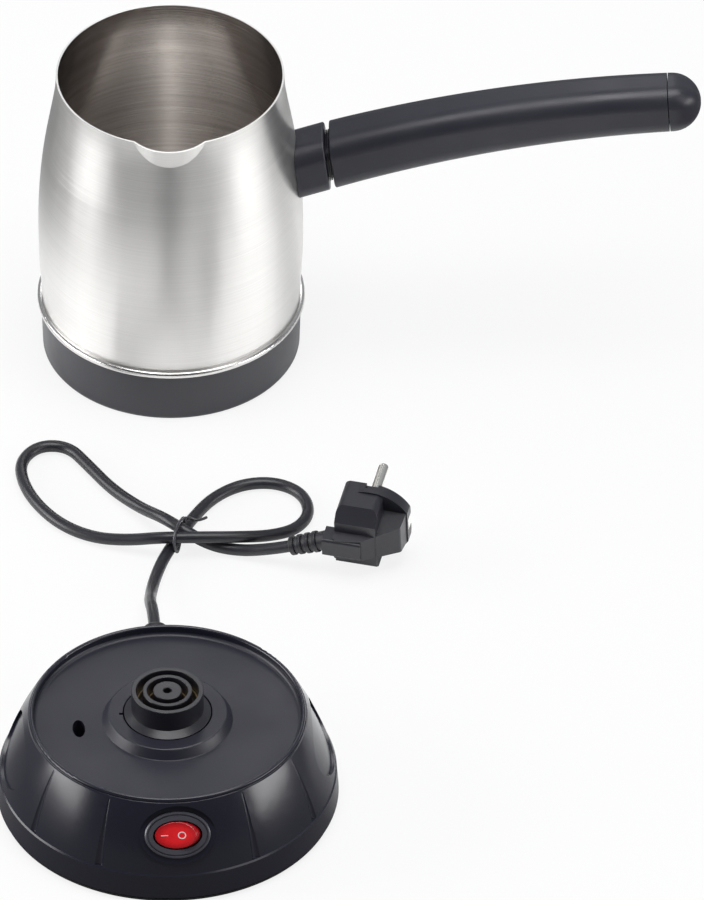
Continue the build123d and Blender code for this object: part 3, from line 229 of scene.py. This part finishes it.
def distanceFromAxis(material, point):
    split = addNode(material, "ShaderNodeSeparateXYZ")
    link(material, point, split.inputs["Vector"])
    squareX = addMath(material, "MULTIPLY", split.outputs["X"], split.outputs["X"])
    squareY = addMath(material, "MULTIPLY", split.outputs["Y"], split.outputs["Y"])
    return addMath(material, "SQRT", addMath(material, "ADD", squareX, squareY))


housingFinish = {
    "color": (0.01, 0.01, 0.018),
    "specular": 0.45,
    "shine": 0.22,
    "shineSpread": 0.03,
    "dishShine": 0.44,
    "dishSpread": 0.05,
    "dishRadius": 0.0569,
    "dishEdge": 0.0001,
    "patchScale": 30,
    "grain": 1400,
    "detail": 2,
    "shoulderGrain": 0.000006,
    "dishGrain": 0.00002,
}


def housingMaterial(setup):
    # Polished outside, and a matt dish inside the rim
    material = newMaterial(
        "housingPlastic", setup["color"], setup["shine"], Specular_IOR_Level=setup["specular"]
    )
    point = objectPoint(material)
    radius = distanceFromAxis(material, point)
    inner, outer = setup["dishRadius"] - setup["dishEdge"], setup["dishRadius"] + setup["dishEdge"]
    inside = addRange(material, radius, 1, 0, inner, outer)
    patches = addNoise(material, point, setup["patchScale"], setup["detail"])
    low, high = setup["dishShine"] - setup["dishSpread"], setup["dishShine"] + setup["dishSpread"]
    dish = addRange(material, patches, low, high)
    low, high = setup["shine"] - setup["shineSpread"], setup["shine"] + setup["shineSpread"]
    polish = addRange(material, patches, low, high)
    setRoughness(material, mixValue(material, inside, polish, dish))
    grain = addNoise(material, point, setup["grain"], setup["detail"])
    depth = addRange(material, inside, setup["shoulderGrain"], setup["dishGrain"], 0, 1)
    bump = addBump(material, grain, setup["dishGrain"])
    link(material, depth, bump.inputs["Distance"])
    return material


steelFinish = {
    "outside": (0.69, 0.68, 0.665),
    # inside: the same steel painted darker and warmer, painted shade on the inner wall
    "inside": (0.53, 0.49, 0.465),
    "roughness": 0.36,
    "insideRoughness": 0.22,
    "smoother": -0.07,
    "rougher": 0.09,
    "anisotropy": 0.7,
    "quarterTurn": 0.25,
    "lineScale": (14, 14, 2600),
    "streakScale": (26, 26, 5),
    "bandScale": (14, 14, 700),
    "lineRoughness": 0.6,
    "streakRoughness": 0.55,
    "bandDetail": 2,
    "tones": (0.88, 1.1),
    "bandTones": (0.85, 1.1),
    "facingOut": -0.05,
    "lineDepth": 0.000008,
}


def brushedSteel(name, setup):
    # Brushed round the axis: fine lines along each level, soft streaks up the wall outside,
    # and broader bands on the smoother inner wall, which is painted darker and warmer as painted
    # shade
    material = newMaterial(
        name,
        setup["outside"],
        setup["roughness"],
        1,
        Anisotropic=setup["anisotropy"],
        Anisotropic_Rotation=setup["quarterTurn"],
    )
    shader = material.node_tree.nodes["Principled BSDF"]
    point = objectPoint(material, offset=(0, -potAxis[1], 0))
    upward = (0.0, 0.0, 1.0)
    across = addVectorMath(material, "CROSS_PRODUCT", upward, point)
    around = addVectorMath(material, "NORMALIZE", across.outputs["Vector"])
    link(material, around.outputs["Vector"], shader.inputs["Tangent"])

    linePoint = stretched(material, point, setup["lineScale"])
    streakPoint = stretched(material, point, setup["streakScale"])
    bandPoint = stretched(material, point, setup["bandScale"])
    lines = addNoise(material, linePoint, 1, roughness=setup["lineRoughness"])
    streaks = addNoise(material, streakPoint, 1, roughness=setup["streakRoughness"])
    bands = addNoise(material, bandPoint, 1, detail=setup["bandDetail"])
    both = addMath(material, "MULTIPLY", addMath(material, "ADD", lines, streaks), 0.5)

    coords = addNode(material, "ShaderNodeTexCoord")
    outward = addVectorMath(material, "CROSS_PRODUCT", around.outputs["Vector"], upward)
    facing = addVectorMath(
        material, "DOT_PRODUCT", coords.outputs["Normal"], outward.outputs["Vector"]
    )
    outside = addMath(material, "GREATER_THAN", facing.outputs["Value"], setup["facingOut"])
    finish = addRange(material, outside, setup["insideRoughness"], setup["roughness"], 0, 1)
    change = addRange(material, both, setup["smoother"], setup["rougher"])
    setRoughness(material, addMath(material, "ADD", finish, change))

    tone = mixValue(
        material,
        outside,
        addRange(material, bands, *setup["bandTones"]),
        addRange(material, both, *setup["tones"]),
    )
    # Painted shade: the inner wall takes the darker, warmer inside colour
    color = mixColor(material, outside, setup["inside"], setup["outside"])
    toned = addVectorMath(material, "SCALE", color)
    link(material, tone, toned.inputs["Scale"])
    setColor(material, toned.outputs["Vector"])
    addBump(material, lines, setup["lineDepth"])
    return material


print("materials:", end=" ")
finishes = {
    "housing": housingMaterial(housingFinish),
    "connector": mouldedPlastic(
        "connectorPlastic", (0.012, 0.012, 0.016), 0.3, spread=0.04, Specular_IOR_Level=0.4
    ),
    "cover": mouldedPlastic("coverPlastic", (0.02, 0.02, 0.022), 0.5, grain=700, depth=0.04),
    "bezel": mouldedPlastic("bezelPlastic", (0.045, 0.045, 0.056), 0.34, spread=0.03),
    "foot": mouldedPlastic("footRubber", (0.03, 0.03, 0.03), 0.75, grain=500, depth=0.05),
    "zinc": turnedMetal("zincSteel", (0.55, 0.55, 0.54), 0.35),
    "contact": turnedMetal("contactBrass", (0.4, 0.3, 0.16), 0.35),
    "nickel": turnedMetal("nickelPlate", (0.66, 0.65, 0.62), 0.18),
    "rocker": mouldedPlastic(
        "rockerRed", (0.5, 0.006, 0.012), 0.2,
        grain=400, depth=0.01, spread=0.04, Subsurface_Weight=0.15,
    ),
    "lamp": newMaterial("lampGlass", (0.95, 0.6, 0.4), 0.08, Transmission_Weight=0.9),
    "cord": mouldedPlastic(
        "cordSheath", (0.013, 0.013, 0.017), 0.36, grain=260, depth=0.04, Specular_IOR_Level=0.4
    ),
    "plug": mouldedPlastic(
        "plugVinyl", (0.014, 0.014, 0.019), 0.4, grain=600, depth=0.04, Specular_IOR_Level=0.4
    ),
    "tie": mouldedPlastic("tieVinyl", (0.03, 0.03, 0.036), 0.3, grain=1200),
    "brown": mouldedPlastic("leadBrown", (0.14, 0.05, 0.02), 0.4),
    "blue": mouldedPlastic("leadBlue", (0.03, 0.12, 0.45), 0.4),
    "green": mouldedPlastic("leadGreen", (0.12, 0.35, 0.05), 0.4),
    "steel": brushedSteel("vesselSteel", steelFinish),
    "hem": turnedMetal("hemSteel", (0.58, 0.57, 0.56), 0.2),
    "cup": mouldedPlastic(
        "cupPlastic", (0.022, 0.022, 0.028), 0.36, grain=800, depth=0.03, Specular_IOR_Level=0.4
    ),
    "aluminium": turnedMetal("plateAluminium", (0.72, 0.72, 0.73), 0.4),
    "thermostat": mouldedPlastic("thermostatPlastic", (0.05, 0.035, 0.03), 0.5),
    "handle": mouldedPlastic(
        "handlePlastic", (0.019, 0.019, 0.027), 0.4,
        grain=1100, depth=0.025, spread=0.06, Specular_IOR_Level=0.4,
    ),
    "mark": mouldedPlastic("markWhite", (0.62, 0.55, 0.55), 0.45),
}
nodeFinishes = {
    "housing": ["base_housing"],
    "connector": ["connector_body", "pot_socket"],
    "cover": ["base_cover", "cord_clamp"],
    "bezel": ["switch_frame"],
    "foot": ["base_foot_ring", "cup_gasket"],
    "zinc": [
        "base_cover_screws", "connector_clamp", "connector_screws", "cord_clamp_screws",
        "cup_standoffs", "cup_screws", "socket_screws", "handle_bracket", "handle_bolt",
        "grip_screw",
    ],
    "contact": ["connector_contacts", "switch_terminals", "socket_contacts"],
    "nickel": ["plug_pins", "plug_earth_clips"],
    "rocker": ["switch_rocker"],
    "lamp": ["switch_lamp"],
    "cord": ["cord_gland", "cord_tail", "plug_boot"],
    "plug": ["plug_body"],
    "tie": ["cord_tie"],
    "brown": ["lead_live", "lead_switched", "pot_lead_live", "pot_lead_heater"],
    "blue": ["lead_neutral", "pot_lead_neutral"],
    "green": ["lead_earth"],
    "steel": ["pot_vessel"],
    "hem": ["hem_ring", "heating_element"],
    "cup": ["pot_cup"],
    "aluminium": ["heater_plate"],
    "thermostat": ["thermostat"],
    "handle": ["handle_collar", "handle_core", "handle_grip", "handle_cap"],
}
for finish, names in nodeFinishes.items():
    for name in names:
        for materialSlot in nodes[name].material_slots:
            materialSlot.material = finishes[finish]
print(len(finishes))


# Mains cord, tied in two loops behind the base, and its tie

cordSetup = {
    "diameter": 0.0052,
    "roundness": 7,
    "steps": 10,
    "length": 0.507,
    "exit": (-0.00593, 0.08476, 0.0225),
    "route": [
        (-0.00572, 0.08177, 0.0225),
        (-0.00677, 0.0968, 0.0225),
        (-0.0082, 0.112, 0.0145),
        (-0.008, 0.1275, 0.0062),
        (-0.0062, 0.142, 0.0034),
        (-0.0022, 0.156, 0.0039),
        (0.0042, 0.1695, 0.0044),
        (0.0102, 0.184, 0.003),
        (0.0185, 0.1975, 0.0028),
        (0.031, 0.2068, 0.0027),
        (0.0455, 0.208, 0.0027),
        (0.057, 0.2005, 0.0028),
        (0.0605, 0.187, 0.0029),
        (0.055, 0.1755, 0.0032),
        (0.0435, 0.1685, 0.005),
        (0.0285, 0.1628, 0.009),
        (0.012, 0.1612, 0.0102),
        (-0.0035, 0.1613, 0.01),
        (-0.0185, 0.1653, 0.0052),
        (-0.033, 0.17, 0.0028),
        (-0.0465, 0.1785, 0.0027),
        (-0.057, 0.192, 0.0027),
        (-0.0635, 0.207, 0.0028),
        (-0.065, 0.222, 0.0027),
        (-0.057, 0.233, 0.0028),
        (-0.044, 0.2325, 0.0027),
        (-0.0355, 0.2195, 0.0028),
        (-0.025, 0.203, 0.0027),
        (-0.0125, 0.188, 0.0045),
        (-0.003, 0.1755, 0.0096),
        (0.0055, 0.1676, 0.0094),
        (0.017, 0.1636, 0.004),
        (0.03, 0.161, 0.0028),
        (0.04413, 0.15673, 0.00732),
        (0.0522, 0.1549, 0.0106),
    ],
}


tieSetup = {
    "diameter": 0.0013,
    "roundness": 4,
    "steps": 8,
    "loop": [
        (0.0058, 0.1725, 0.0122),
        (0.0046, 0.1675, 0.0142),
        (0.0026, 0.1618, 0.0144),
        (0.0018, 0.1566, 0.0118),
        (0.0024, 0.1574, 0.0062),
        (0.0034, 0.1612, 0.0014),
        (0.0044, 0.1695, 0.0004),
        (0.0054, 0.1752, 0.0036),
        (0.0062, 0.1762, 0.0084),
    ],
    "tail": [
        (0.0058, 0.174, 0.0104),
        (0.0085, 0.1757, 0.0094),
        (0.0122, 0.1742, 0.0084),
        (0.0158, 0.1777, 0.0078),
    ],
}


def newTube(name, setup, finish):
    tube = bpy.data.curves.new(name, "CURVE")
    tube.dimensions = "3D"
    tube.bevel_depth = setup["diameter"] / 2
    tube.bevel_resolution = setup["roundness"]
    tube.resolution_u = setup["steps"]
    tube.use_fill_caps = True
    tube.materials.append(finishes[finish])
    return tube


def addLine(tube, places, closed=False):
    spline = tube.splines.new("NURBS")
    spline.points.add(len(places) - 1)
    for point, place in zip(spline.points, places):
        point.co = (*place, 1)
    spline.order_u = 3
    spline.use_cyclic_u = closed
    spline.use_endpoint_u = not closed


def addTie(setup):
    wire = newTube("tieWire", setup, "tie")
    addLine(wire, setup["loop"], closed=True)
    addLine(wire, setup["tail"])
    tie = bpy.data.objects.new("cordTie", wire)
    scene.collection.objects.link(tie)
    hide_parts("cord_tie")
    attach(tie, "root")
    return tie


def addCord(setup, tie):
    sheath = newTube("cordSheath", setup, "cord")
    addLine(sheath, setup["route"])
    cord = bpy.data.objects.new("cordSheath", sheath)
    scene.collection.objects.link(cord)
    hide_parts("mains_cord")
    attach(cord, "root")
    print("cord laid")


addCord(cordSetup, addTie(tieSetup))


# Rocker: its painted shade, deep red toward the rim, and its marks, a bar on the pressed end and a
# ring on the raised end

markSetup = {
    "pivot": (0.004394, -0.062835, 0.030312),
    "tilt": math.radians(33),  # how far the switch faces up
    "pressed": math.radians(12),
    "faceOut": 0.0075,  # how far the face's middle lies in front of the pivot
    "barAt": -0.0042,
    "barSize": (0.0027, 0.00036),
    "barCuts": 11,
    "ringAt": 0.0022,
    "ringRadius": 0.00155,
    "ringInner": 0.75,
    "ringCorners": 48,
    "ringSteps": 3,
    "clearance": 0.00004,
    "faceSize": (0.0102, 0.0063, 0.02),
    # Painted shade on the rocker face: bright red in the middle, dark red toward the rim
    "middleColor": (0.64, 0.012, 0.016),
    "rimShadeColor": (0.2, 0.001, 0.004),
    "rimShadeFade": (0.5, 1.02),
}


def rockerFrame(setup):
    turn = Matrix.Rotation(baseTurn, 3, "Z")
    across = turn @ Vector((1, 0, 0))
    up = turn @ Vector((0, math.sin(setup["tilt"]), math.cos(setup["tilt"])))
    out = across.cross(up)
    lean = Matrix.Rotation(-setup["pressed"], 3, up)
    across, out = lean @ across, lean @ out
    place = Vector(setup["pivot"]) + out * setup["faceOut"]
    return Matrix((across, up, out)).transposed().to_4x4(), place


def layOnRocker(mark, name, shift, setup):
    turn, place = rockerFrame(setup)
    mark.name = name
    mark.matrix_world = Matrix.Translation(place) @ turn @ Matrix.Translation((shift, 0, 0))
    bpy.ops.object.transform_apply(location=True, rotation=True, scale=True)
    wrap = mark.modifiers.new("wrap", "SHRINKWRAP")
    wrap.target = nodes["switch_rocker"]
    wrap.wrap_method = "NEAREST_SURFACEPOINT"
    wrap.wrap_mode = "ABOVE_SURFACE"
    wrap.offset = setup["clearance"]
    bpy.ops.object.modifier_apply(modifier="wrap")
    mark.data.materials.append(finishes["mark"])
    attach(mark, "rocker")


def paintRockerShade(material, setup):
    # Painted shade: bright red in the middle, deepening to dark red toward the rim
    turn, place = rockerFrame(setup)
    coords = addNode(material, "ShaderNodeTexCoord")
    face = addNode(material, "ShaderNodeMapping", vector_type="TEXTURE")
    face.inputs["Location"].default_value = place
    face.inputs["Rotation"].default_value = turn.to_euler()
    face.inputs["Scale"].default_value = setup["faceSize"]
    link(material, coords.outputs["Object"], face.inputs["Vector"])
    away = addVectorMath(material, "LENGTH", face.outputs["Vector"])
    rim = addRange(material, away.outputs["Value"], 0, 1, *setup["rimShadeFade"])
    setColor(material, mixColor(material, rim, setup["middleColor"], setup["rimShadeColor"]))


def addBarMark(setup):
    length, width = setup["barSize"]
    bpy.ops.object.select_all(action="DESELECT")
    bpy.ops.mesh.primitive_plane_add(size=1)
    bar = bpy.context.object
    bar.scale = (length, width, 1)
    bpy.ops.object.transform_apply(location=False, rotation=False, scale=True)
    bpy.ops.object.mode_set(mode="EDIT")
    bpy.ops.mesh.select_all(action="SELECT")
    bpy.ops.mesh.subdivide(number_cuts=setup["barCuts"])
    bpy.ops.object.mode_set(mode="OBJECT")
    layOnRocker(bar, "rockerBarMark", setup["barAt"], setup)


def addRingMark(setup):
    # A circle's edge, extruded inwards in equal steps
    steps = setup["ringSteps"]
    bpy.ops.object.select_all(action="DESELECT")
    bpy.ops.mesh.primitive_circle_add(vertices=setup["ringCorners"], radius=setup["ringRadius"])
    ring = bpy.context.object
    bpy.ops.object.mode_set(mode="EDIT")
    bpy.ops.mesh.select_all(action="SELECT")
    for step in range(steps):
        share = 1 - (1 - setup["ringInner"]) * (step + 1) / steps
        last = 1 - (1 - setup["ringInner"]) * step / steps
        bpy.ops.mesh.extrude_edges_move()
        bpy.ops.transform.resize(value=(share / last,) * 3)
    bpy.ops.object.mode_set(mode="OBJECT")
    layOnRocker(ring, "rockerRingMark", setup["ringAt"], setup)


paintRockerShade(finishes["rocker"], markSetup)
addBarMark(markSetup)
addRingMark(markSetup)
print("rocker marked")


# Studio: paper that is white to the camera, and dims away from the pot for all other rays,
# a sky brighter behind, low strips at both sides, and soft boxes

studio = {
    "floorSize": 40,
    "floorDrop": 0.0002,
    "floorColor": (0.62, 0.62, 0.62),
    "floorGlow": 0.84,
    "paperCenter": (0.06, 0.25),
    "paperNear": 0.98,
    "paperFar": 0.18,
    "paperFade": (0.19, 0.27),
    "skyLow": 0.12,
    "skyHigh": 0.55,
    "skyToward": (0.15, 0.75, 0.65),
    "skyColor": (0.94, 0.97, 1),
    "aim": (0.03, 0.2, 0.03),
    "boxes": [
        {"place": (-1.75, -0.3, 0.3), "size": (1.1, 0.5), "power": 12},
        {"place": (1.75, -0.3, 0.3), "size": (1.1, 0.5), "power": 14},
        {"place": (-1.95, 0.3, 0.8), "size": (1.6, 1.0), "power": 30},
        {"place": (1.6, -1.1, 1.5), "size": (1.2, 1.2), "power": 8},
        {"place": (0.1, 2.6, 2.1), "size": (0.5, 1.2), "power": 5},
        {"place": (0.15, -0.15, 3.0), "size": (2.4, 1.6), "power": 80},
    ],
}


def addFloor(setup):
    bpy.ops.mesh.primitive_plane_add(size=setup["floorSize"], location=(0, 0, -setup["floorDrop"]))
    floor = bpy.context.object
    floor.name = "studioFloor"
    material = bpy.data.materials.new("studioPaper")
    material.use_nodes = True
    material.node_tree.nodes.clear()
    centerX, centerY = setup["paperCenter"]
    point = objectPoint(material, offset=(-centerX, -centerY, 0))
    away = addVectorMath(material, "LENGTH", point).outputs["Value"]
    shade = addRange(material, away, setup["paperNear"], setup["paperFar"], *setup["paperFade"])
    rays = addNode(material, "ShaderNodeLightPath").outputs["Is Camera Ray"]
    seen = addNode(material, "ShaderNodeMix", data_type="RGBA")
    link(material, rays, seen.inputs[0])
    link(material, shade, seen.inputs[6])
    seen.inputs[7].default_value = (*setup["floorColor"], 1)
    paper = addNode(material, "ShaderNodeBsdfDiffuse")
    link(material, seen.outputs[2], paper.inputs["Color"])
    glow = addNode(material, "ShaderNodeEmission")
    mix = addNode(material, "ShaderNodeMixShader")
    link(material, addMath(material, "MULTIPLY", rays, setup["floorGlow"]), mix.inputs[0])
    link(material, paper.outputs[0], mix.inputs[1])
    link(material, glow.outputs[0], mix.inputs[2])
    output = addNode(material, "ShaderNodeOutputMaterial")
    link(material, mix.outputs[0], output.inputs["Surface"])
    floor.data.materials.append(material)


def addSky(setup):
    # Brighter toward the back; the camera itself sees it at full strength
    world = bpy.data.worlds.new("studioSky")
    scene.world = world
    world.use_nodes = True
    sky = world.node_tree.nodes["Background"]
    sky.inputs["Color"].default_value = (*setup["skyColor"], 1)
    coords = addNode(world, "ShaderNodeTexCoord")
    toward = addVectorMath(world, "DOT_PRODUCT", coords.outputs["Generated"], setup["skyToward"])
    fall = addRange(world, toward.outputs["Value"], setup["skyLow"], setup["skyHigh"], 0, 1)
    rays = addNode(world, "ShaderNodeLightPath").outputs["Is Camera Ray"]
    link(world, addMath(world, "MAXIMUM", rays, fall), sky.inputs["Strength"])


def addBoxes(setup):
    for box in setup["boxes"]:
        bpy.ops.object.light_add(type="AREA", location=box["place"])
        lamp = bpy.context.object
        lamp.data.shape = "RECTANGLE"
        lamp.data.size, lamp.data.size_y = box["size"]
        lamp.data.energy = box["power"]
        toward = Vector(setup["aim"]) - Vector(box["place"])
        lamp.rotation_euler = toward.to_track_quat("-Z", "Y").to_euler()


addFloor(studio)
addSky(studio)
addBoxes(studio)
print("studio lit")
